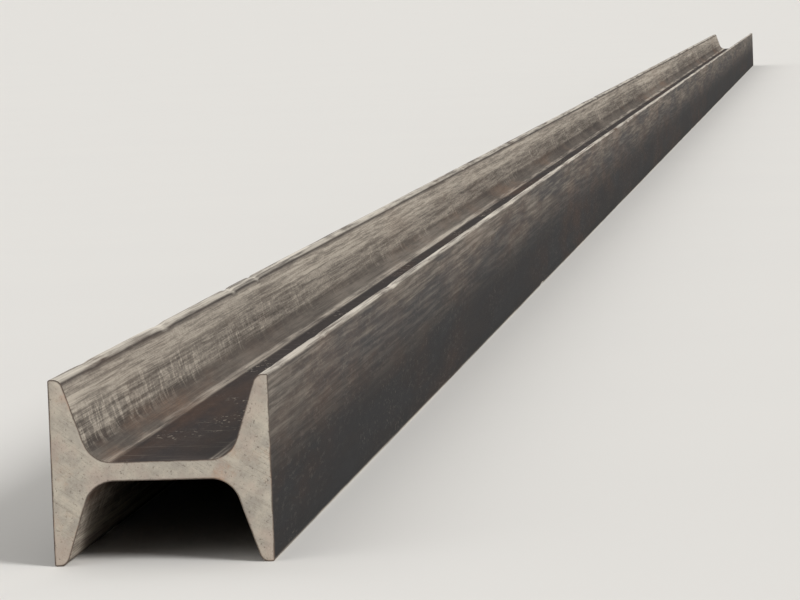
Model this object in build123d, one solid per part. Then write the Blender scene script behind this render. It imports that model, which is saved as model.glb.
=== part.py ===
from build123d import *

import math
import os

# A hot-rolled steel I-beam of the stocky kind used to prop mine roadways: wide flanges,
# a thick web and steeply tapered inner flange faces. It is rolled in one piece, then sawn
# square to its stock length, so it is one solid with one constant section.
#
# It lies on its side, as such beams are stacked. The web is level, both flanges stand
# upright, and the beam rests on the two lower flange tips.
# X runs across the beam from flange to flange, Y runs along it, and Z is up.
# The origin is the middle of the base, at the height of the lower flange tips.

# Driving dimensions, in millimetres.
LENGTH = 9000.0  # stock length, from sawn end to sawn end
SECTION_DEPTH = 90.0  # from the outer face of one flange to the outer face of the other
FLANGE_WIDTH = 76.0  # from tip to tip of one flange
WEB_THICKNESS = 8.0
FLANGE_THICKNESS = 10.9  # midway between the web's face and the flange tip
FLANGE_TAPER = 1 / 3  # rise of the inner flange face for each millimetre of run
ROOT_RADIUS = 12.0  # hollow curve where a flange meets the web
TOE_RADIUS = 4.0  # rounded inner edge of a flange tip
CORNER_RADIUS = 1.0  # slightly rounded outer edge of a flange tip

# A flange tip keeps at least this share of its thickness flat between its two rounded edges.
TIP_FLAT_SHARE = 0.1


def taper_tangent(radius):
    """How far a round of this radius reaches along each side of a flange's tapered corner."""
    taper_angle = math.atan(FLANGE_TAPER)
    return radius * math.tan((math.pi / 2 - taper_angle) / 2)


def quarter_corners():
    """The sharp corners of the section's upper right quarter, from the section's own middle.

    The flange's outer edge and its toe are at the tip, and the root is where it meets the web.
    """
    overhang = (FLANGE_WIDTH - WEB_THICKNESS) / 2
    tip_thickness = FLANGE_THICKNESS - FLANGE_TAPER * overhang / 2
    root_thickness = FLANGE_THICKNESS + FLANGE_TAPER * overhang / 2
    outer_x = SECTION_DEPTH / 2
    toe_x = outer_x - tip_thickness
    root_x = outer_x - root_thickness
    tip_z = FLANGE_WIDTH / 2
    web_z = WEB_THICKNESS / 2
    corners = {
        "outer": (outer_x, tip_z),
        "toe": (toe_x, tip_z),
        "root": (root_x, web_z),
    }
    return corners, tip_thickness


def mirrored(corners, sign_x, sign_z):
    """The corners of one quarter of the outline, from its outer edge in to the root."""
    return [(sign_x * x, sign_z * z) for x, z in corners.values()]


def rounded_section():
    """The rolled section as one face, with its root curves and its rounded flange tips."""
    corners, tip_thickness = quarter_corners()
    points = (
        mirrored(corners, 1, 1)
        + mirrored(corners, -1, 1)[::-1]
        + mirrored(corners, -1, -1)
        + mirrored(corners, 1, -1)[::-1]
    )
    face = make_face(Polyline(*points, close=True))

    # The two rounds on one flange tip share its thickness, whatever size they are given.
    room = tip_thickness * (1 - TIP_FLAT_SHARE)
    share = min(1.0, room / (taper_tangent(TOE_RADIUS) + CORNER_RADIUS))
    radius_at = {
        "outer": CORNER_RADIUS * share,
        "toe": TOE_RADIUS * share,
        "root": ROOT_RADIUS,
    }
    for name, radius in radius_at.items():
        x, z = corners[name]
        found = [
            v for v in face.vertices()
            if math.isclose(abs(v.X), x, abs_tol=1e-6)
            and math.isclose(abs(v.Y), z, abs_tol=1e-6)
        ]
        face = fillet(found, radius)
    return face


def i_beam():
    """The section drawn upright across the beam, then run along the beam's length."""
    upright = Plane(origin=(0, -LENGTH / 2, FLANGE_WIDTH / 2), x_dir=(1, 0, 0), z_dir=(0, -1, 0))
    return extrude(upright * rounded_section(), amount=-LENGTH)


os.makedirs("parts", exist_ok=True)
beam = i_beam()
export_step(beam, "parts/i_beam.step")

STEEL_GRAMS_PER_CUBIC_MM = 0.00785
kilograms_per_metre = beam.volume / LENGTH * STEEL_GRAMS_PER_CUBIC_MM
print(f"i_beam {beam.volume / 1e9:.6f} m3, {kilograms_per_metre:.2f} kg for each metre")
print(f"box {beam.bounding_box()}")
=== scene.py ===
# %% [markdown]
# # A rolled steel I-beam, lying on its side
#
# This lesson dresses one long steel beam. Its size and its section come from a CAD model,
# which is loaded first and is never moved or changed. The lesson then builds a finer mesh of
# the same beam, paints it as mill scale, rust and sawn steel, and lights it in a plain studio.

import math
import random

import bmesh
import bpy
import mathutils
import numpy as np
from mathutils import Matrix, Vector, noise


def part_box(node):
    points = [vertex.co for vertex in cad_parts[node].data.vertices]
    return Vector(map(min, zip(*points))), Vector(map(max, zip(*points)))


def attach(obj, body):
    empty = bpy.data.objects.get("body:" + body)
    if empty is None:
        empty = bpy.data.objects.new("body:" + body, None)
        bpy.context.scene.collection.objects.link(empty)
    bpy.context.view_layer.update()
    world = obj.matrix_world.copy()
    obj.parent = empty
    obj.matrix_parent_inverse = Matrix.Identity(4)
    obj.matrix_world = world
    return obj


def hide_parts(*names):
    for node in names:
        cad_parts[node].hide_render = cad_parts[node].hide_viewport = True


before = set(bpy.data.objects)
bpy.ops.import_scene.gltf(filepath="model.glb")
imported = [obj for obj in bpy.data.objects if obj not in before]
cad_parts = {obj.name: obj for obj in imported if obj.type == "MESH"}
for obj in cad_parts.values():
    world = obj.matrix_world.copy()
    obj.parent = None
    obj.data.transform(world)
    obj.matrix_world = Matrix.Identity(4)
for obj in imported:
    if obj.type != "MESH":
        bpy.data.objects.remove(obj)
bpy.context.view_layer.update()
BEAM_LOW, BEAM_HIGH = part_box("i_beam")
print("CAD box", [round(v, 4) for v in (*BEAM_LOW, *BEAM_HIGH)])

# %% [markdown]
# ## The section
#
# A hot-rolled beam is squeezed between grooved rolls, so every edge of its section is a
# curve: a large hollow one where flange meets web, a round one inside each flange tip and a
# small one outside it. The inner flange faces slope, so that the rolls let go of the steel.
#
# One quarter of the section is enough, because the other three mirror it. The section could
# be traced as a curve object with a bevel, but a list of points can say which surface each
# point belongs to, and the paint needs that later.

# %% Sizes of the section, in metres
MM = 0.001
DEPTH = BEAM_HIGH.x - BEAM_LOW.x
WIDTH = BEAM_HIGH.z - BEAM_LOW.z
LENGTH = BEAM_HIGH.y - BEAM_LOW.y
MIDDLE_Z = (BEAM_HIGH.z + BEAM_LOW.z) / 2
WEB = 8 * MM
FLANGE = 10.9 * MM  # midway between web and tip
TAPER = 1 / 3
ROOT_RADIUS = 12 * MM
TOE_RADIUS = 4 * MM
CORNER_RADIUS = 1 * MM
# How many steps each part of a quarter of the section is drawn in.
WEB_STEPS, ROOT_STEPS, INNER_STEPS = 4, 10, 6
TOE_STEPS, CORNER_STEPS, OUTER_STEPS = 7, 4, 6
print(f"section {DEPTH / MM:.1f} by {WIDTH / MM:.1f} mm, length {LENGTH:.3f} m")

# %% Points along an arc and along a straight run


def arc(centre, radius, start, end, steps):
    """Points round part of a circle, from one angle to another, both ends included."""
    turns = np.linspace(start, end, steps + 1)
    return [(centre[0] + radius * math.cos(t), centre[1] + radius * math.sin(t)) for t in turns]


def run(start, end, steps):
    """Points along a straight run, without its two ends."""
    (x0, z0), (x1, z1) = start, end
    shares = np.linspace(0, 1, steps + 1)[1:-1]
    return [(x0 + (x1 - x0) * t, z0 + (z1 - z0) * t) for t in shares]


print("a quarter circle in two steps:", np.round(arc((0, 0), 1, 0, math.pi / 2, 2), 2).tolist())

# %% One quarter of the section, as labelled points


def quarter_section():
    """(x, z, surface) from the middle of the web out and round to the flange's outer face."""
    slope = math.atan(TAPER)
    overhang = (WIDTH - WEB) / 2
    tip = FLANGE - TAPER * overhang / 2
    root = FLANGE + TAPER * overhang / 2
    outer, top, web_top = DEPTH / 2, WIDTH / 2, WEB / 2
    reach = math.tan((math.pi / 2 - slope) / 2)

    hollow = arc((outer - root - ROOT_RADIUS * reach, web_top + ROOT_RADIUS), ROOT_RADIUS,
                 -math.pi / 2, -slope, ROOT_STEPS)
    toe = arc((outer - tip + TOE_RADIUS * reach, top - TOE_RADIUS), TOE_RADIUS,
              math.pi - slope, math.pi / 2, TOE_STEPS)
    corner = arc((outer - CORNER_RADIUS, top - CORNER_RADIUS), CORNER_RADIUS,
                 math.pi / 2, 0, CORNER_STEPS)

    points = [(0.0, web_top, "web")]
    points += [(*p, "web") for p in run((0, web_top), hollow[0], WEB_STEPS)]
    points += [(*p, "root") for p in hollow]
    points += [(*p, "inner") for p in run(hollow[-1], toe[0], INNER_STEPS)]
    points += [(*p, "toe") for p in toe]
    points += [(*p, "corner") for p in corner]
    points += [(*p, "outer") for p in run(corner[-1], (outer, 0), OUTER_STEPS)]
    points += [(outer, 0.0, "outer")]
    return points


quarter = quarter_section()
gone = [0.0]
for (x0, z0, _), (x1, z1, _) in zip(quarter, quarter[1:]):
    gone.append(gone[-1] + math.hypot(x1 - x0, z1 - z0))
quarter = [(x, z, surface, distance) for (x, z, surface), distance in zip(quarter, gone)]
print(len(quarter), f"points in a quarter, {gone[-1] / MM:.0f} mm round it")

# %% The whole section, as one closed loop


def mirrored(points, x_sign, z_sign):
    return [(x_sign * x, z_sign * z, surface, distance) for x, z, surface, distance in points]


loop = (
    mirrored(quarter, 1, 1)
    + mirrored(quarter, 1, -1)[-2::-1]
    + mirrored(quarter, -1, -1)[1:]
    + mirrored(quarter, -1, 1)[-2:0:-1]
)
around = np.array([(x, z) for x, z, _, _ in loop])
surface_of = [surface for _, _, surface, _ in loop]
from_web = np.array([distance for *_, distance in loop])
ring_size = len(loop)

step = np.roll(around, -1, axis=0) - around
step_length = np.linalg.norm(step, axis=1)
girth = step_length.sum()
travelled = np.concatenate([[0], np.cumsum(step_length)])

along_loop = np.roll(around, -1, axis=0) - np.roll(around, 1, axis=0)
outward = np.stack([-along_loop[:, 1], along_loop[:, 0]], axis=1)
outward /= np.linalg.norm(outward, axis=1, keepdims=True)
print(ring_size, f"points round the section, girth {girth / MM:.0f} mm")

# %% [markdown]
# ## Knocks along the flange edges
#
# Beams are dragged, dropped and levered about, and the thin flange tips take it. Each knock
# is a shallow dent a few centimetres long. They could be sculpted, but a short list of
# places is easier to repeat, and the same list tells the mesh where it needs to be finer.

# %% Choose the knocks
dice = random.Random(41)
FLANGE_EDGES = [(side, level) for side in (-1, 1) for level in (-1, 1)]
SCATTERED_KNOCKS = 30
FREE_OF_KNOCKS = 0.05  # metres at each end that have only the knocks of the list below
HALF_LENGTHS, DEPTHS = (7, 26), (0.25, 0.9)  # least and most of a scattered knock, in mm
# Near the end that the camera sees: which edge, metres from the end, half length and depth in mm.
KNOCKS_NEAR_THE_END = (
    ((1, 1), 0.047, 13, 0.3), ((1, 1), 0.203, 20, 0.5), ((-1, 1), 0.083, 16, 0.35),
    ((-1, 1), 0.287, 26, 0.55), ((1, 1), 0.52, 30, 0.6), ((-1, -1), 0.12, 16, 0.5),
)

knocks = []
for _ in range(SCATTERED_KNOCKS):
    knocks.append({
        "edge": dice.choice(FLANGE_EDGES),
        "y": dice.uniform(BEAM_LOW.y + FREE_OF_KNOCKS, BEAM_HIGH.y - FREE_OF_KNOCKS),
        "half": dice.uniform(*HALF_LENGTHS) * MM,
        "deep": dice.uniform(*DEPTHS) * MM,
    })
for edge, from_end, half, deep in KNOCKS_NEAR_THE_END:
    knocks.append({"edge": edge, "y": BEAM_LOW.y + from_end, "half": half * MM, "deep": deep * MM})
print(len(knocks), "knocks")

# %% [markdown]
# ## Where the mesh has its rings
#
# The mesh is a tube of rings. Near a sawn end the rings are 2 mm apart, because that is where
# the eye looks. Along the plain middle they can be far apart. Each knock gets a few rings of
# its own, and so does each place where the texture map starts a new row.

# %% Ring positions
MAP_ROWS = 5
END_ROUND = 0.55 * MM  # how far the rim of a sawn end lies behind the CAD model's end
RING_GAP, WIDEST_GAP, GAP_GROWTH = 2 * MM, 60 * MM, 1.07
FINE_REACH = 0.06  # how far from an end the rings stay close, in metres
CLOSEST = 0.9 * MM  # rings nearer than this to another are left out
LOOK_BACK = 60  # a new ring is compared with this many of the rings before it
KNOCK_RINGS = (-1.6, -1, -0.5, 0, 0.5, 1, 1.6)  # in half lengths from the middle of a knock
row_cuts = [BEAM_LOW.y + LENGTH * k / MAP_ROWS for k in range(1, MAP_ROWS)]


def ring_positions():
    """Where along the beam each ring lies, from one rim to the other."""
    from_end, gap = [0.0], RING_GAP
    while from_end[-1] < LENGTH / 2:
        from_end.append(from_end[-1] + gap)
        if from_end[-1] > FINE_REACH:
            gap = min(gap * GAP_GROWTH, WIDEST_GAP)
    first, last = BEAM_LOW.y + END_ROUND, BEAM_HIGH.y - END_ROUND
    wanted = [first + d for d in from_end if d < LENGTH / 2]
    wanted += [last - d for d in from_end if d < LENGTH / 2]
    for knock in knocks:
        wanted += [knock["y"] + knock["half"] * share for share in KNOCK_RINGS]
    fixed = sorted({first, last, *row_cuts})
    kept = list(fixed)
    for y in sorted(wanted):
        if first < y < last and min(abs(y - k) for k in kept[-LOOK_BACK:] + fixed) > CLOSEST:
            kept.append(y)
    return np.array(sorted(kept))


rings = ring_positions()
print(len(rings), "rings,", len(rings) * ring_size, "points on the rolled surface")

# %% [markdown]
# ## The rolled surface
#
# A real beam isn't a perfect extrusion. The faces wave by a tenth of a millimetre, the edges
# wander, and each knock pushes its edge in. All of it goes inward from the CAD surface, so
# that the dressed beam never grows past the model that it stands for.

# %% How much of a dent in the tip each point takes
WAVE = 0.16 * MM
EDGE_WANDER = 0.35 * MM
DENT_SPREAD = 6 * MM  # how far a dent in the tip reaches down the faces beside it
DENT_SIDEWAYS = 0.25  # how far a dent goes sideways, for each 1 that it pushes the tip in
FAINTEST_DENT = 0.01  # points that take a smaller share of a dent than this take none
toe_start = min(from_web[k] for k, surface in enumerate(surface_of) if surface == "toe")
corner_end = max(from_web[k] for k, surface in enumerate(surface_of) if surface == "corner")
beside_tip = np.maximum(0, np.maximum(toe_start - from_web, from_web - corner_end))
dented_share = np.exp(-(beside_tip / DENT_SPREAD) ** 2)
print(f"the tip runs from {toe_start / MM:.1f} to {corner_end / MM:.1f} mm from the middle of the web")

# %% Move each point of a ring


def edge_of(x, z):
    """Which flange edge a place belongs to, as (side, level)."""
    return int(math.copysign(1, x)), int(math.copysign(1, z))


def knock_depth(edge, y):
    """How far the nearest knocks push in this flange edge at y."""
    total = 0.0
    for knock in knocks:
        away = (y - knock["y"]) / knock["half"]
        if knock["edge"] == edge and abs(away) < 2:
            total += knock["deep"] * math.exp(-2 * away * away)
    return total


def rolled_ring(y):
    """The (x, z) places of one ring, with its waves, wandering edges and knocks."""
    depth_at = {edge: knock_depth(edge, y) for edge in FLANGE_EDGES}
    places = np.empty_like(around)
    for k, (x, z) in enumerate(around):
        wave = WAVE * (0.5 + 0.5 * noise.noise(Vector((x * 30, y * 4, z * 30))))
        inward = -outward[k] * wave
        if dented_share[k] > FAINTEST_DENT:
            edge = edge_of(x, z)
            wander = EDGE_WANDER * abs(noise.noise(Vector((edge[0] * 5, y * 22, edge[1] * 5))))
            dent = (wander * 0.6 + depth_at[edge]) * dented_share[k]
            inward = inward - np.array([DENT_SIDEWAYS * edge[0], edge[1]]) * dent
        places[k] = (x, z) + inward
    return places


skin = np.empty((len(rings), ring_size, 3))
for r, y in enumerate(rings):
    skin[r, :, (0, 2)] = rolled_ring(y).T
    skin[r, :, 1] = y
skin[:, :, 2] += MIDDLE_Z
print("rolled surface spans", skin.min((0, 1)).round(4), skin.max((0, 1)).round(4))

# %% [markdown]
# ## The sawn ends
#
# A hot saw leaves a flat, slightly rough face. Its rim is a little rounded where the hot
# steel smeared, and along the edges that the blade left last it stands up as a thin ragged
# burr. The face could be one flat polygon with a bump map, but then the rim would be a knife
# edge, so here two thin rings step in from the rim and a net of small triangles fills the rest.

# %% How far a spot lies inside the section


def rim_distance(spot):
    """The distance from a spot to the nearest side of the section's outline."""
    p = np.array(spot)
    along = np.clip(((p - around) * step).sum(1) / (step_length ** 2), 0, 1)
    return float(np.linalg.norm(around + step * along[:, None] - p, axis=1).min())


def inside_section(spot, margin):
    """True where the spot is in steel, at least this far from the rim."""
    x, z = spot
    next_x, next_z = np.roll(around, -1, axis=0).T
    # A level side is never crossed, so its rise can be any number but 0.
    crosses = (around[:, 1] > z) != (next_z > z)
    rise = np.where(next_z == around[:, 1], 1, next_z - around[:, 1])
    at = around[:, 0] + (z - around[:, 1]) / rise * (next_x - around[:, 0])
    return bool(np.sum(crosses & (x < at)) % 2) and rim_distance(spot) > margin


print(f"the middle of the web is {rim_distance((0, 0)) / MM:.1f} mm from the nearest side")

# %% The burr along the rim and the relief of the face
FACE_BACK = 0.30 * MM  # how far the sawn face lies behind the CAD model's end
BURR = 0.5 * MM
RIM_REACH = 2.2 * MM  # how far in from the rim the paint still counts as near it


def burr_height(x, z, seed):
    """The ragged burr: strongest along the lower edges, patchy, and absent on the upper ones."""
    low = max(0.0, min(1.0, 0.55 - z / WIDTH * 1.4))
    ragged = noise.noise(Vector((x * 160 + seed, z * 160, seed)))
    patch = noise.noise(Vector((x * 30, z * 30 + seed, 3.0 + seed)))
    return BURR * low * max(0.0, min(1.0, 0.45 + ragged * 0.9 + patch * 1.2))


def face_relief(x, z, seed):
    """Low swellings about 17 mm across, with finer ones about 4 mm across on them."""
    wide = noise.noise(Vector((x * 60 + seed, z * 60, 1.0)))
    fine = noise.noise(Vector((x * 240, z * 240 + seed, 2.0)))
    return 0.07 * MM * wide + 0.04 * MM * fine


print(f"burr at a lower corner: {burr_height(-DEPTH / 2, -WIDTH / 2, 7.0) / MM:.2f} mm")

# %% A loose net of points across the face
NET = 1.5 * MM
NET_MARGIN = 1.9 * MM  # the net's own points stay this far from the rim
NET_LOOSENESS = 0.3  # how far a point may be off its place, as a share of NET


def net_points():
    """Spots on a loose grid of the section, each a little off its place."""
    inside = []
    for x in np.arange(-DEPTH / 2, DEPTH / 2, NET):
        for z in np.arange(-WIDTH / 2, WIDTH / 2, NET):
            off_x = dice.uniform(-NET_LOOSENESS, NET_LOOSENESS) * NET
            off_z = dice.uniform(-NET_LOOSENESS, NET_LOOSENESS) * NET
            spot = Vector((x + off_x, z + off_z))
            if inside_section(spot, NET_MARGIN):
                inside.append(spot)
    return inside


print(f"net points {NET / MM:.1f} mm apart, {NET_MARGIN / MM:.1f} mm in from the rim")

# %% Build one sawn end
# The two thin rings: how far in from the rim, and how far from the rim's height to the face's.
RIM_STEPS = ((0.35 * MM, 0.12), (0.85 * MM, 0.55))
INSIDE_ONLY, SAME_POINT = 1, 1e-7  # keep the triangles in the outline; join points this near


def sawn_end(rim, sign, seed):
    """Points, faces and closeness to the rim of one sawn end. sign is -1 for the -Y end."""
    end_y = BEAM_LOW.y if sign < 0 else BEAM_HIGH.y
    flat = rim[:, (0, 2)] - (0, MIDDLE_Z)
    points, near_rim, faces = [], [], []
    for inset, flatness in RIM_STEPS:
        for x, z in flat - outward * inset:
            burr = burr_height(x, z, seed) * (1 - flatness)
            back = END_ROUND + (FACE_BACK - END_ROUND) * flatness - burr
            points.append((x, end_y - sign * back, z + MIDDLE_Z))
            near_rim.append(1 - inset / RIM_REACH)

    edge_loop = [Vector(spot) for spot in flat - outward * RIM_STEPS[-1][0]]
    boundary = [(k, (k + 1) % ring_size) for k in range(ring_size)]
    net, _, triangles, *_ = mathutils.geometry.delaunay_2d_cdt(
        edge_loop + net_points(), boundary, [list(range(ring_size))], INSIDE_ONLY, SAME_POINT)
    for x, z in net[ring_size:]:
        points.append((x, end_y - sign * (FACE_BACK + face_relief(x, z, seed)), z + MIDDLE_Z))
        near_rim.append(max(0.0, 1 - rim_distance((x, z)) / RIM_REACH))

    for k in range(ring_size):
        after = (k + 1) % ring_size
        faces.append((k, after, after + ring_size, k + ring_size))
    last_ring = ring_size * (len(RIM_STEPS) - 1)
    faces += [tuple(last_ring + v for v in triangle) for triangle in triangles]
    return points, faces, near_rim


near_end = sawn_end(skin[0], -1, 7.0)
far_end = sawn_end(skin[-1], 1, 19.0)
print("each sawn end has about", len(near_end[0]), "points and", len(near_end[1]), "faces")

# %% [markdown]
# ## One mesh for the whole beam
#
# The beam is one piece of steel, so it is one closed mesh: the rolled tube with a sawn face
# joined to each of its two outer rings. Small numbers are stored at each point, and the paint
# reads them: how far round the section it is from the middle of the web, how deep a knock is
# there, and how near a point of a sawn face is to its rim. A vertex group could hold them
# too, but an attribute takes any number, so the first can be in plain millimetres.

# %% Join the parts of the mesh
ROLLED, SAWN = 0, 1  # which finish a face gets
all_points = [tuple(p) for p in skin.reshape(-1, 3)]
skin_count = len(all_points)
all_faces = []
for r in range(len(rings) - 1):
    for k in range(ring_size):
        a, b = r * ring_size + k, r * ring_size + (k + 1) % ring_size
        all_faces.append((a, b, b + ring_size, a + ring_size))
face_kind = [ROLLED] * len(all_faces)
rim_value = [0.0] * skin_count

for (points, faces, near_rim), ring, flip in ((near_end, 0, False), (far_end, len(rings) - 1, True)):
    base = len(all_points)
    all_points += points
    rim_value += near_rim
    joined = [tuple(base + v for v in face) for face in faces]
    for k in range(ring_size):
        after = (k + 1) % ring_size
        joined.append((ring * ring_size + k, ring * ring_size + after, base + after, base + k))
    all_faces += [face[::-1] if flip else face for face in joined]
    face_kind += [SAWN] * len(joined)

beam_mesh = bpy.data.meshes.new("steel_i_beam")
beam_mesh.from_pydata(all_points, [], all_faces)
beam = bpy.data.objects.new("steel_i_beam", beam_mesh)
bpy.context.scene.collection.objects.link(beam)
print(len(all_points), "points,", len(all_faces), "faces")

# %% Turn every face outward and check that the mesh is closed
work = bmesh.new()
work.from_mesh(beam_mesh)
bmesh.ops.recalc_face_normals(work, faces=work.faces)
open_edges = sum(not e.is_manifold for e in work.edges)
volume = work.calc_volume(signed=True)
triangles = sum(len(f.verts) - 2 for f in work.faces)
work.to_mesh(beam_mesh)
work.free()
print(f"open edges {open_edges}, volume {volume:.5f} m3, {triangles} triangles")

# %% Store where each point is
FULL_KNOCK = 0.6 * MM  # a knock this deep counts as 1
ring_knocks = np.zeros((len(rings), ring_size))
for r, y in enumerate(rings):
    for k, ((x, z), surface) in enumerate(zip(around, surface_of)):
        if surface in ("toe", "corner"):
            ring_knocks[r, k] = min(1.0, knock_depth(edge_of(x, z), y) / FULL_KNOCK)

rim_value[:ring_size] = [1.0] * ring_size
rim_value[skin_count - ring_size:skin_count] = [1.0] * ring_size
MARKS = {
    "from_web": np.tile(from_web / MM, len(rings)),
    "knocked": ring_knocks.ravel(),
    "sawn_rim": rim_value,
}
for name, known in MARKS.items():
    values = np.zeros(len(beam_mesh.vertices), np.float32)
    values[:len(known)] = known
    beam_mesh.attributes.new(name, "FLOAT", "POINT").data.foreach_set("value", values)
print("marks:", ", ".join(MARKS))

# %% [markdown]
# ## A texture map that fits a long thin thing
#
# The patterns are made from places in space, so the picture needs no texture map. A model
# that is exported does: its paint is baked into a square image. Laid out as it is, a strip
# nine metres long and a little over 0.4 m round would waste that square. So the strip is cut into
# rows that lie one above another, and the two sawn ends get a larger scale in a band on top.

# %% Lay out the map
ENDS_BAND = 0.2  # share of the square's height that the two sawn ends take
GUTTER = 0.004
NEAR_END_U, ENDS_APART = 0.13, 0.75  # where the sawn ends lie in their band
row_height = (1 - ENDS_BAND) / MAP_ROWS
row_length = LENGTH / MAP_ROWS
end_scale = (ENDS_BAND - 2 * GUTTER) / WIDTH


def on_a_row(spots, corners):
    """Map places of a rolled face: along its row, and up it by the distance round the section."""
    row = min(int((spots[:, 1].mean() - BEAM_LOW.y) / row_length), MAP_ROWS - 1)
    number = np.array([v % ring_size for v in corners])
    turned = travelled[number]
    if number.max() - number.min() > ring_size / 2:  # the face that closes the loop
        turned = np.where(number == 0, girth, turned)
    along = (spots[:, 1] - BEAM_LOW.y - row * row_length) / row_length
    u = GUTTER + along * (1 - 2 * GUTTER)
    v = (row + 0.5) * row_height + (turned / girth - 0.5) * (row_height - GUTTER)
    return np.stack([u, v], axis=1)


def in_the_band(spots):
    """Map places of a sawn face: the section itself, at the larger scale."""
    u = NEAR_END_U + ENDS_APART * (spots[:, 1].mean() > 0) + spots[:, 0] * end_scale
    v = 1 - ENDS_BAND / 2 + (spots[:, 2] - MIDDLE_Z) * end_scale
    return np.stack([u, v], axis=1)


places = np.array(all_points)
uv = np.zeros((len(beam_mesh.loops), 2), np.float32)
for polygon in beam_mesh.polygons:
    corners = list(polygon.vertices)
    rolled = face_kind[polygon.index] == ROLLED
    mapped = on_a_row(places[corners], corners) if rolled else in_the_band(places[corners])
    uv[polygon.loop_start:polygon.loop_start + len(corners)] = mapped
beam_mesh.uv_layers.new(name="OFBake").data.foreach_set("uv", uv.ravel())
print(f"map: {row_length:.2f} m to a row, ends at {end_scale:.2f} of the square for each metre")

# %% [markdown]
# ## Paint as sums of patterns
#
# A finish is easiest to think of as arithmetic: so much rust here, less on the web, more
# where a noise is high. Blender says this with nodes. The small class below wraps one socket
# and gives it +, - and *, so that a pattern can be written as a line of Python, and the
# nodes are made behind it.

# %% A socket that does sums


class Signal:
    """One output in a node tree. A sum written with signals adds Math nodes."""

    def __init__(self, paint, socket):
        self.paint, self.socket = paint, socket

    def _sum(self, operation, *values, clamp=False):
        settings = {"operation": operation, "use_clamp": clamp}
        return self.paint.node("Math", settings, dict(enumerate(values)))

    def __add__(self, other):
        return self._sum("ADD", self, other)

    def __sub__(self, other):
        return self._sum("SUBTRACT", self, other)

    def __rsub__(self, other):
        return self._sum("SUBTRACT", other, self)

    def __mul__(self, other):
        return self._sum("MULTIPLY", self, other)

    __radd__, __rmul__ = __add__, __mul__

    def size(self):
        """The value without its sign."""
        return self._sum("ABSOLUTE", self)

    def clipped(self):
        """The value, kept between 0 and 1."""
        return self._sum("ADD", self, 0.0, clamp=True)

    def larger(self, other):
        return self._sum("MAXIMUM", self, other)

    def ramp(self, low, high):
        """0 up to low, 1 from high on, and a soft step between. It falls where low is above high."""
        return self.paint.node("MapRange", {"interpolation_type": "SMOOTHSTEP"},
                               {"Value": self, "From Min": low, "From Max": high})


print("besides + - *, a signal knows", ", ".join(n for n in vars(Signal) if not n.startswith("_")))

# %% A node tree that is written in Python


class Paint:
    """Adds nodes to a tree: a material's, or the world's."""

    def __init__(self, tree):
        self.tree = tree

    @staticmethod
    def named(sockets, name):
        """A socket by its number, or by its name among those that the node's settings show."""
        if isinstance(name, int):
            return sockets[name]
        return next(s for s in sockets if s.name == name and s.enabled)

    def node(self, kind, settings=None, inputs=None, output=0):
        """One node: its settings first, then the values or links of its sockets."""
        made = self.tree.nodes.new("ShaderNode" + kind)
        for name, value in (settings or {}).items():
            setattr(made, name, value)
        for name, value in (inputs or {}).items():
            socket = self.named(made.inputs, name)
            if isinstance(value, Signal):
                self.tree.links.new(value.socket, socket)
            else:
                socket.default_value = value
        return Signal(self, self.named(made.outputs, output)) if made.outputs else None


print("one method makes every node: type, settings, sockets")

# %% The patterns that every finish here can use


class Finish(Paint):
    """A material, with the patterns that the finishes of this beam share."""

    def __init__(self, name, **constants):
        self.material = bpy.data.materials.new(name)
        self.material.use_nodes = True
        super().__init__(self.material.node_tree)
        self.shader = self.tree.nodes["Principled BSDF"]
        for socket, value in constants.items():
            self.shader.inputs[socket.replace("_", " ")].default_value = value
        self.place = self.node("TexCoord", output="Object")

    def mark(self, name):
        """One of the numbers that are stored at the points of the mesh."""
        return self.node("Attribute", {"attribute_name": name}, output="Fac")

    def along(self, direction):
        """How far a place lies in a direction, in metres if the direction is 1 long."""
        return self.node("VectorMath", {"operation": "DOT_PRODUCT"},
                         {0: self.place, 1: direction}, "Value")

    def stretched(self, x=1.0, y=1.0, z=1.0):
        """The place in space, scaled along each axis. A small y draws patterns out along the beam."""
        return self.node("VectorMath", {"operation": "MULTIPLY"}, {0: self.place, 1: (x, y, z)})

    def cloud(self, where, scale, detail=4.0, roughness=0.55):
        """Soft noise between 0 and 1, mostly near 0.5."""
        return self.node("TexNoise", {"noise_dimensions": "3D"},
                         {"Vector": where, "Scale": scale, "Detail": detail, "Roughness": roughness})

    def mix(self, share, first, second):
        """One colour where share is 0, the other where it is 1."""
        return self.node("Mix", {"data_type": "RGBA"},
                         {"Factor": share, "A": first, "B": second}, "Result")

    def relief(self, height, distance):
        """A bump map: height is a signal, distance the depth in metres that 0 to 1 stands for."""
        return self.node("Bump", None, {"Height": height, "Distance": distance}, "Normal")

    def feed(self, **signals):
        """Links each signal to the shader's socket of that name."""
        for socket, signal in signals.items():
            self.tree.links.new(signal.socket, self.shader.inputs[socket.replace("_", " ")])


def rgb(red, green, blue):
    """A colour from the 0 to 255 of a colour picker, as the linear values that a shader takes."""
    shares = [c / 255 for c in (red, green, blue)]
    linear = [s / 12.92 if s <= 0.04045 else ((s + 0.055) / 1.055) ** 2.4 for s in shares]
    return (*linear, 1.0)


print("mid grey 128 is", round(rgb(128, 128, 128)[0], 3), "of white's light")
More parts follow.
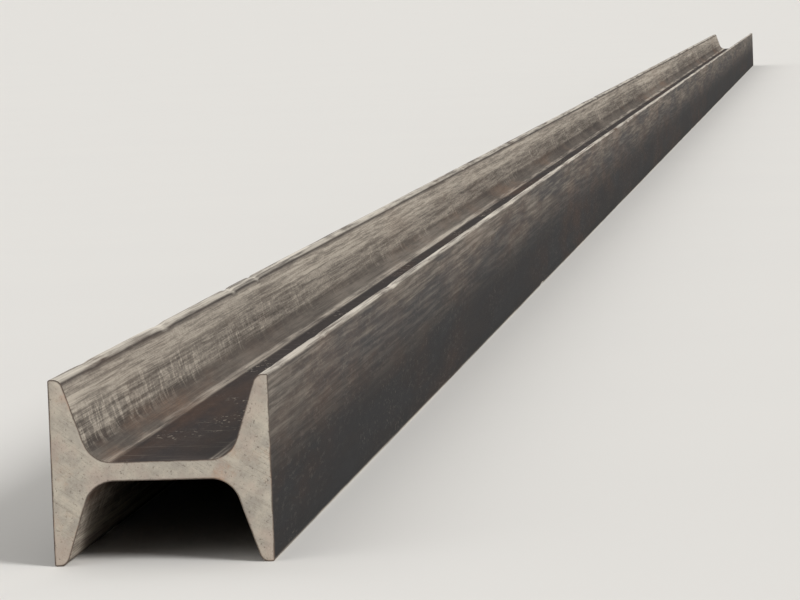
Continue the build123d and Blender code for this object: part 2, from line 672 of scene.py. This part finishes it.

# %% [markdown]
# ## The finish of the rolled surface
#
# Steel leaves the rolls red hot and grows a skin of dark oxide, the mill scale, as it cools.
# On this beam the scale is dark brown on the web, and the web is darkened further with painted
# shade of the trough between the flanges. On the outer faces it is blue-grey to brown, painted
# nearly black low down as shade, and paler towards the top, partly rubbed and partly painted
# light. The sloping inner faces are rubbed pale and carry a painted sheen, in straight lines that
# run along the beam, and short scratches cross them, most of all near the ends. The flange edges
# are worn to bright metal, a narrow line at the foot of each hollow is a painted highlight, partly
# worn bright, and a thin brown rust has started.
#
# Each of these is a pattern between 0 and 1. A pattern that follows the rolling direction is
# soft noise drawn out along the beam, by looking it up in a squeezed space. Where on the
# section it shows is a ramp of the stored distance from the web, so its limits are in mm.
# Image textures could hold the same dirt, but they would blur close up and repeat far off.

# %% Colours of the rolled surface
# Dark scale, also used as the painted shade of the web between the flanges.
DARK_SCALE_AND_SHADE = rgb(38, 32, 32)
SCALE_BROWN = rgb(68, 60, 56)
SCALE_BLUE = rgb(55, 55, 57)
# Blue-black intact scale, laid on the lower outer faces as painted shade.
SCALE_AND_SHADE_BLACK = rgb(33, 33, 34)
SCALE_GREY = rgb(96, 91, 86)
# Pale and mid tones of rubbed scale, which also paint the sheen on the inner faces.
PALE_RUB_AND_SHEEN = rgb(188, 178, 164)
MID_RUB_AND_SHEEN = rgb(140, 131, 120)
RUST_BROWN = rgb(92, 66, 50)
RUST_BRIGHT = rgb(140, 92, 56)
BARE_STEEL = rgb(196, 188, 175)
DUST = rgb(158, 148, 135)
print("bare steel shines about", round(BARE_STEEL[1] / DARK_SCALE_AND_SHADE[1]), "times as bright as dark scale")

# %% Where each face of the section lies, in millimetres from the middle of the web
skin_paint = Finish("rolled_steel_skin", Specular_IOR_Level=0.12)
place_round = skin_paint.mark("from_web")
root_places = [from_web[k] / MM for k, surface in enumerate(surface_of) if surface == "root"]
root_low, root_high = min(root_places), max(root_places)
tip_low, tip_high = toe_start / MM, corner_end / MM


def band(low, high, soft=0.8):
    """1 between two distances from the middle of the web, with soft limits."""
    return place_round.ramp(low - soft, low + soft) * place_round.ramp(high + soft, high - soft)


web = place_round.ramp(root_low + 1, root_low - 1)
root = band(root_low, root_high, 1.5)
inner = band(root_high, tip_low, 1.5)
lower_inner = band(root_high - 3, root_high + 13, 4)
near_tip = band(root_high + 12, tip_low + 1, 3)
tip = band(tip_low + 1.6, tip_high, 0.7)
outer = place_round.ramp(tip_high - 0.3, tip_high + 0.9)
height_share = skin_paint.along((0, 0, 1 / WIDTH))
near_ends = skin_paint.along((0, 1, 0)).size().ramp(LENGTH / 2 - 0.35, LENGTH / 2)
print(f"root curve {root_low:.1f} to {root_high:.1f} mm, flange tip {tip_low:.1f} to {tip_high:.1f} mm")

# %% Patterns drawn out along the rolling direction
broad_lines = skin_paint.cloud(skin_paint.stretched(y=0.006), 210, detail=3)
fine_lines = skin_paint.cloud(skin_paint.stretched(y=0.004), 760, detail=3)
hair_lines = skin_paint.cloud(skin_paint.stretched(y=0.012), 2100, detail=2)
scuffs = skin_paint.cloud(skin_paint.stretched(y=0.02), 380, detail=5, roughness=0.62)
mottle = skin_paint.cloud(skin_paint.stretched(y=0.17), 42, detail=7, roughness=0.68)
blotches = skin_paint.cloud(skin_paint.stretched(y=0.12), 13, detail=5, roughness=0.6)
long_patches = skin_paint.cloud(skin_paint.stretched(y=0.14), 8, detail=4, roughness=0.6)
outer_patches = skin_paint.cloud(skin_paint.stretched(y=0.06), 46, detail=6, roughness=0.66)
print("lines about 5, 1.3 and 0.5 mm wide")
print("mottle and outer patches about 25 mm high, blotches 80 mm, long patches 125 mm")

# %% Grain, grit and flecks
grain = skin_paint.cloud(skin_paint.place, 1500, detail=3, roughness=0.6)
grit = skin_paint.cloud(skin_paint.stretched(y=0.16), 430, detail=5, roughness=0.72)
speckle = skin_paint.cloud(skin_paint.stretched(y=0.2), 850, detail=4, roughness=0.7)
pits = skin_paint.cloud(skin_paint.stretched(y=0.25), 330, detail=4).ramp(0.36, 0.28)
fleck_groups = skin_paint.cloud(skin_paint.stretched(y=0.4), 21, detail=3).ramp(0.50, 0.62)
flecks = skin_paint.cloud(skin_paint.stretched(y=0.35), 560, detail=2).ramp(0.60, 0.67) * fleck_groups
print("grain about 0.7 mm, grit about 2 mm and flecks about 2 by 5 mm")

# %% Scratches across the beam


def crosswise(angle, scale, reach, low, groups_scale):
    """Short scratches across the beam, turned by an angle, in groups. Most are near its ends.

    A small reach makes them longer, and the lower low is, the more of them there are.
    """
    turned = skin_paint.node("VectorRotate", {"rotation_type": "X_AXIS"},
                             {"Vector": skin_paint.place, "Angle": angle})
    squeezed = skin_paint.node("VectorMath", {"operation": "MULTIPLY"},
                               {0: turned, 1: (reach, 1, reach)})
    groups = skin_paint.cloud(skin_paint.stretched(y=0.3), groups_scale, detail=4, roughness=0.62)
    scratched = (groups + near_ends * 0.14).ramp(0.46, 0.66)
    return skin_paint.cloud(squeezed, scale, detail=3).ramp(low, low + 0.08) * scratched


web_scratches = crosswise(0.06, 330, 0.09, 0.62, groups_scale=20.4)
hatching = crosswise(0.42, 240, 0.4, 0.55, groups_scale=22.5) * (0.25 + speckle * 0.9)
contact_marks = crosswise(0.3, 75, 0.85, 0.49, groups_scale=21.8) * (0.4 + grit.ramp(0.4, 0.58) * 0.6)
print("scratches on the web about 3 by 30 mm, on the slopes 4 by 10 mm, contact marks about 14 mm")

# %% How rubbed each spot is, with painted sheen and highlight
patchy = 0.56 + (long_patches - 0.5) * 1.1 + (speckle - 0.5) * 0.9
lined = (near_tip * broad_lines.ramp(0.40, 0.62) * 0.26
         + (scuffs * 0.6 + hair_lines * 0.4).ramp(0.4, 0.6) * 0.2)
# A painted highlight along the foot of each hollow, broken in patches like rubbed wear.
root_highlight_and_wear = (band(root_low + 0.2, root_low + 4.2, 0.9)
             * (scuffs * 0.4 + mottle * 0.3 + long_patches * 0.3).ramp(0.42, 0.57)
             * (0.45 + speckle * 0.6))
crossed = hatching * (lower_inner * 0.5 + inner * 0.08) + (contact_marks - 0.2) * lower_inner * 0.45
# The outer faces grow paler towards the top: partly rubbed, partly painted light from above.
outer_rubbed_and_lit = outer * height_share.ramp(0.35, 1.0) * (
    0.05 + scuffs.ramp(0.4, 0.7) * 0.2 + outer_patches.ramp(0.42, 0.66) * 0.2)
# On the inner faces the pale rub is partly a painted sheen of light off the sloping faces.
rubbed_and_painted_light = (inner * (patchy + lined - lower_inner * 0.16) + root * (long_patches - 0.3)
          + root_highlight_and_wear * 0.8 + crossed + outer_rubbed_and_lit).clipped()
print(len(skin_paint.tree.nodes), "nodes so far")

# %% How dusty, rusty and worn each spot is
dust = (web * 0.05 + root * 0.12) * mottle.ramp(0.42, 0.72) * (grain * 0.8 + 0.2)
film_rust = (blotches.ramp(0.44, 0.66) * mottle.ramp(0.35, 0.65)
             * (0.12 + root * 0.25 + tip * 0.2 + web * 0.08))
rust_spots = grit.ramp(0.62, 0.72) * blotches.ramp(0.5, 0.7) * (0.36 - outer * 0.22)
rust = (film_rust * (grain * 0.8 + 0.5) + rust_spots).clipped()

worn_tip = tip * (0.22 + scuffs.ramp(0.36, 0.58) * 0.55 + fine_lines.ramp(0.44, 0.6) * 0.25
                  - mottle.ramp(0.50, 0.68) * 0.35)
knocked = skin_paint.mark("knocked").ramp(0.45, 1.0) * band(tip_low + 0.4, tip_high + 0.3, 0.4)
# Part of the painted highlight at the foot of each hollow is also worn to bright metal.
worn = (worn_tip + knocked * grit.ramp(0.3, 0.55) * 0.3
        + root_highlight_and_wear * long_patches.ramp(0.45, 0.6) * 0.3).clipped()
print(len(skin_paint.tree.nodes), "nodes so far")

# %% Mix the colours, from the scale up to the bare steel, with painted shade and light
# Painted shade: the outer faces darken towards the bottom as under a shadow, and the web between the
# flanges is darkened as a shaded trough.
shade_low_on_outer = outer * height_share.ramp(0.92, 0.40) * 0.8
shade_on_web = web * 0.7
painted_shade_share = (shade_low_on_outer + shade_on_web).clipped()
flaked = grit.ramp(0.54, 0.64) * blotches.ramp(0.38, 0.58) * (0.28 + outer * 0.12 - painted_shade_share * 0.22)
rub_and_sheen_tone = skin_paint.mix((fine_lines * 0.35 + scuffs * 0.35 + hair_lines * 0.3).ramp(0.4, 0.58),
                             MID_RUB_AND_SHEEN, PALE_RUB_AND_SHEEN)
rust_tone = skin_paint.mix(grain.ramp(0.4, 0.65), RUST_BROWN, RUST_BRIGHT)
pale_marks = (flecks * (web * 0.75 + 0.15) + web_scratches * web * 0.3).clipped()

skin_colour = skin_paint.mix((mottle * 0.7 + grit * 0.3).ramp(0.36, 0.62), DARK_SCALE_AND_SHADE, SCALE_BROWN)
for share, colour in (
    (outer * outer_patches.ramp(0.56, 0.42) * 0.75, SCALE_BLUE),
    (shade_low_on_outer, SCALE_AND_SHADE_BLACK), (shade_on_web, DARK_SCALE_AND_SHADE), (flaked, SCALE_GREY),
    (rubbed_and_painted_light, rub_and_sheen_tone), (dust, DUST), (rust, rust_tone), (pale_marks, DUST), (worn, BARE_STEEL),
):
    skin_colour = skin_paint.mix(share, skin_colour, colour)
print(len(skin_paint.tree.nodes), "nodes so far")

# %% Roughness, metal and relief
SKIN_RELIEF = 0.16 * MM
skin_rough = 0.86 - rubbed_and_painted_light * 0.18 - worn * 0.34 + rust * 0.15 + (mottle - 0.5) * 0.2
skin_metal = (0.06 + rubbed_and_painted_light * 0.2 + worn * 0.6 - rust * 0.3).clipped()
skin_height = (grain * 0.2 + grit * 0.45 + fine_lines * 0.3 + hair_lines * 0.12 + mottle * 0.4
               + flaked * 0.3 - pits * 0.5 - hatching * 0.25 - web_scratches * 0.3)
skin_paint.feed(Base_Color=skin_colour, Roughness=skin_rough, Metallic=skin_metal,
                Normal=skin_paint.relief(skin_height, SKIN_RELIEF))
print(len(skin_paint.tree.nodes), "nodes in the rolled surface's finish")

# %% [markdown]
# ## The finish of the sawn ends
#
# The saw opens clean steel, which turns a dull warm grey-beige in the open air, with faint
# pink and olive patches and a touch of orange rust near the rim. The teeth leave fine lines,
# all of them arcs about one centre far to the side, and the face has tiny dark specks. Its
# rim is dark, where the scale was torn and smeared over it.
#
# A wave texture could draw the arcs, but it makes them too even. Noise that is looked up by
# the distance to that far centre gives lines of uneven width and spacing, which bend alike.

# %% Colours and patterns of a sawn end
SAWN_BEIGE = rgb(193, 185, 171)
SAWN_GREY = rgb(166, 159, 149)
SAWN_ROSE = rgb(184, 165, 153)
SPECK_DARK = rgb(96, 86, 76)
LINE_DARK = rgb(126, 117, 106)
RIM_DARK = rgb(62, 51, 44)
STAIN_ORANGE = rgb(166, 108, 62)
BLADE_CENTRE = (0.31, 0.0, 0.52)  # metres

sawn_paint = Finish("sawn_steel_end", Specular_IOR_Level=0.4)
blade_distance = sawn_paint.node("VectorMath", {"operation": "DISTANCE"},
                                 {0: sawn_paint.stretched(y=0), 1: BLADE_CENTRE}, "Value")
on_arcs = sawn_paint.node("CombineXYZ", None,
                          {"X": blade_distance, "Y": sawn_paint.along((0, 0, 0.05))})
tooth_lines = sawn_paint.cloud(on_arcs, 1150, detail=4, roughness=0.7)
blade_bands = sawn_paint.cloud(on_arcs, 150, detail=2)
sawn_grain = sawn_paint.cloud(sawn_paint.place, 1500, detail=3, roughness=0.7)
sawn_mottle = sawn_paint.cloud(sawn_paint.place, 110, detail=6, roughness=0.7)
sawn_patches = sawn_paint.cloud(sawn_paint.place, 38, detail=5, roughness=0.65)
stain_cloud = sawn_paint.cloud(sawn_paint.place, 31, detail=7, roughness=0.68)
specks = sawn_paint.cloud(sawn_paint.place, 820, detail=3).ramp(0.61, 0.70)
rim = sawn_paint.mark("sawn_rim")
print("saw lines about 0.9 mm apart, in bands of about 7 mm")

# %% Mix the sawn end's colours
torn_rim = (rim + sawn_mottle * 0.7 - 0.35).ramp(0.64, 0.95) * 0.9
stains = (stain_cloud.ramp(0.52, 0.74) * (sawn_grain * 0.8 + 0.2)
          + (rim * stain_cloud).ramp(0.30, 0.62) * 0.35).clipped()
chatter = tooth_lines.ramp(0.50, 0.34) * (0.12 + sawn_patches.ramp(0.56, 0.40) * 0.28)
sawn_colour = sawn_paint.mix((sawn_mottle * 0.7 + blade_bands * 0.3).ramp(0.38, 0.62),
                             SAWN_GREY, SAWN_BEIGE)
for share, colour in (
    (sawn_patches.ramp(0.46, 0.62) * 0.5, SAWN_ROSE), (chatter, LINE_DARK),
    (sawn_grain.ramp(0.46, 0.30) * 0.4, LINE_DARK), (stains, STAIN_ORANGE),
    (specks * 0.55, SPECK_DARK), (torn_rim, RIM_DARK),
):
    sawn_colour = sawn_paint.mix(share, sawn_colour, colour)
print(len(sawn_paint.tree.nodes), "nodes so far")

# %% The sawn end's roughness, metal and relief
SAWN_RELIEF = 0.11 * MM
sawn_rough = 0.40 + tooth_lines * 0.22 + stains * 0.25 + torn_rim * 0.2
sawn_metal = (0.6 - stains * 0.6 - torn_rim * 0.45 - specks * 0.3).clipped()
sawn_height = (tooth_lines * 0.6 + blade_bands * 0.3 + sawn_grain * 0.2 + sawn_mottle * 0.4
               - specks * 0.4)
sawn_paint.feed(Base_Color=sawn_colour, Roughness=sawn_rough, Metallic=sawn_metal,
                Normal=sawn_paint.relief(sawn_height, SAWN_RELIEF))
print(len(sawn_paint.tree.nodes), "nodes in the sawn end's finish")

# %% [markdown]
# ## Putting the finishes on
#
# Each face of the mesh knows which of the two finishes it has. The mesh is shaded smooth, so
# that the rings and the rounds of the section don't show as facets, but an edge sharper than
# 40 degrees stays an edge. The mesh then takes the place of the plain CAD solid.

# %% Put the finishes on the beam
SHARPEST_ROUND = math.radians(40)
beam_mesh.materials.append(skin_paint.material)
beam_mesh.materials.append(sawn_paint.material)
beam_mesh.polygons.foreach_set("material_index", np.array(face_kind, np.int32))
beam_mesh.shade_smooth()
beam_mesh.set_sharp_from_angle(angle=SHARPEST_ROUND)
beam_mesh.update()

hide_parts("i_beam")
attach(beam, "root")
print("the dressed beam stands for the CAD node i_beam")

# %% [markdown]
# ## A plain studio
#
# The floor is pale and matt and runs far past the beam. Three soft suns light every part of
# a nine-metre beam alike, which a lamp near one end could not. The strongest comes from the
# right and in front and lights the sloping faces and the near sawn end. Together with the
# sky they add up to a level at which a white surface renders as white.

# %% Floor
FLOOR_HALF = 500.0  # metres
FLOOR_COLOUR, FLOOR_TINT = rgb(226, 224, 220), rgb(222, 220, 217)
floor_mesh = bpy.data.meshes.new("studio_floor")
work = bmesh.new()
bmesh.ops.create_grid(work, x_segments=8, y_segments=8, size=FLOOR_HALF)
work.to_mesh(floor_mesh)
work.free()
floor = bpy.data.objects.new("studio_floor", floor_mesh)
bpy.context.scene.collection.objects.link(floor)
floor_paint = Finish("studio_floor", Roughness=0.9, Specular_IOR_Level=0.1)
uneven = floor_paint.cloud(floor_paint.place, 3, detail=2).ramp(0.2, 0.8) * 0.25
floor_paint.feed(Base_Color=floor_paint.mix(uneven, FLOOR_COLOUR, FLOOR_TINT))
floor_mesh.materials.append(floor_paint.material)
print("floor", 2 * FLOOR_HALF, "m wide")

# %% Suns
SUNS = {
    "key_sun": {"towards": (0.78, -0.52, 0.62), "share": 0.42, "soft": 22},
    "fill_sun": {"towards": (-0.55, -0.60, 0.75), "share": 0.08, "soft": 50},
    "back_sun": {"towards": (-0.25, 0.75, 0.65), "share": 0.10, "soft": 40},
}
SKY_SHARE = 1 - sum(sun["share"] for sun in SUNS.values())
for name, sun in SUNS.items():
    lamp = bpy.data.lights.new(name, "SUN")
    towards = Vector(sun["towards"]).normalized()
    lamp.energy = math.pi * sun["share"] / towards.z
    lamp.angle = math.radians(sun["soft"])
    holder = bpy.data.objects.new(name, lamp)
    holder.rotation_mode = "QUATERNION"
    holder.rotation_quaternion = towards.to_track_quat("Z", "Y")
    bpy.context.scene.collection.objects.link(holder)
print("sky share of the light on the floor:", round(SKY_SHARE, 2))

# %% The sky, which the camera and shiny steel see as a pale backdrop
WARM_WHITE = (1.0, 0.985, 0.96, 1.0)
world = bpy.data.worlds.new("studio_sky")
bpy.context.scene.world = world
world.use_nodes = True
world.node_tree.nodes.clear()
sky = Paint(world.node_tree)
RAY_KINDS = ("Is Camera Ray", "Is Glossy Ray", "Is Transmission Ray")
camera_ray, glossy_ray, clear_ray = (sky.node("LightPath", output=kind) for kind in RAY_KINDS)
ambient = sky.node("Background", None, {"Color": WARM_WHITE, "Strength": SKY_SHARE})
backdrop = sky.node("Background", None, {"Color": FLOOR_COLOUR, "Strength": 1.0})
seen = camera_ray.larger(glossy_ray).larger(clear_ray)
shown = sky.node("MixShader", None, {0: seen, 1: ambient, 2: backdrop})
sky.node("OutputWorld", None, {"Surface": shown})
bpy.context.scene.view_settings.view_transform = "Standard"
print("the backdrop has the floor's own colour")

# %% [markdown]
# ## The camera
#
# The camera stands not quite two metres from the near end, a little to the right of the beam
# and a little above it. From so near, the far end looks a sixth of the size of the near one,
# and that is what makes the beam look long. A camera further off with a longer lens would
# show it too flat. Aim and lens aren't set by hand: the camera is turned until the beam is in
# the middle, and its lens is as long as the beam still fits.

# %% Place the camera
CAMERA_FROM_END = Vector((0.284, -1.842, 0.194))  # metres, from the middle of the near end
camera_data = bpy.data.cameras.new("camera")
camera = bpy.data.objects.new("camera", camera_data)
bpy.context.scene.collection.objects.link(camera)
bpy.context.scene.camera = camera
camera.location = Vector((0, BEAM_LOW.y, MIDDLE_Z)) + CAMERA_FROM_END
camera.rotation_mode = "QUATERNION"
camera_data.sensor_width = 36
camera_data.clip_start, camera_data.clip_end = 0.05, 2000
print(f"camera {CAMERA_FROM_END.length:.2f} m from the near end")

# %% Turn it to the middle of the beam, and zoom in
ROLL = math.radians(-2.15)
FRAME_WIDTH, FRAME_HEIGHT = 800, 600
MARGIN = 0.055  # share of the frame that stays free at each side, above and below
AIM_ROUNDS = 8
FIRST_TARGET = Vector((0.1, BEAM_LOW.y + 0.5, MIDDLE_Z))  # any spot near the beam does
box_corners = [Vector((x, y, z)) for x in (BEAM_LOW.x, BEAM_HIGH.x)
               for y in (BEAM_LOW.y, BEAM_HIGH.y) for z in (BEAM_LOW.z, BEAM_HIGH.z)]
aim = FIRST_TARGET - camera.location
for _ in range(AIM_ROUNDS):
    turn = aim.to_track_quat("-Z", "Y") @ mathutils.Quaternion((0, 0, 1), ROLL)
    seen_at = [turn.inverted() @ (corner - camera.location) for corner in box_corners]
    flat_at = np.array([(v.x / -v.z, v.y / -v.z) for v in seen_at])
    low, high = flat_at.min(0), flat_at.max(0)
    aim = turn @ Vector((*(low + high) / 2, -1))
camera.rotation_quaternion = turn
span = (high - low) / (1 - 2 * MARGIN)
camera_data.lens = camera_data.sensor_width / max(span[0], span[1] * FRAME_WIDTH / FRAME_HEIGHT)
print(f"lens {camera_data.lens:.1f} mm")
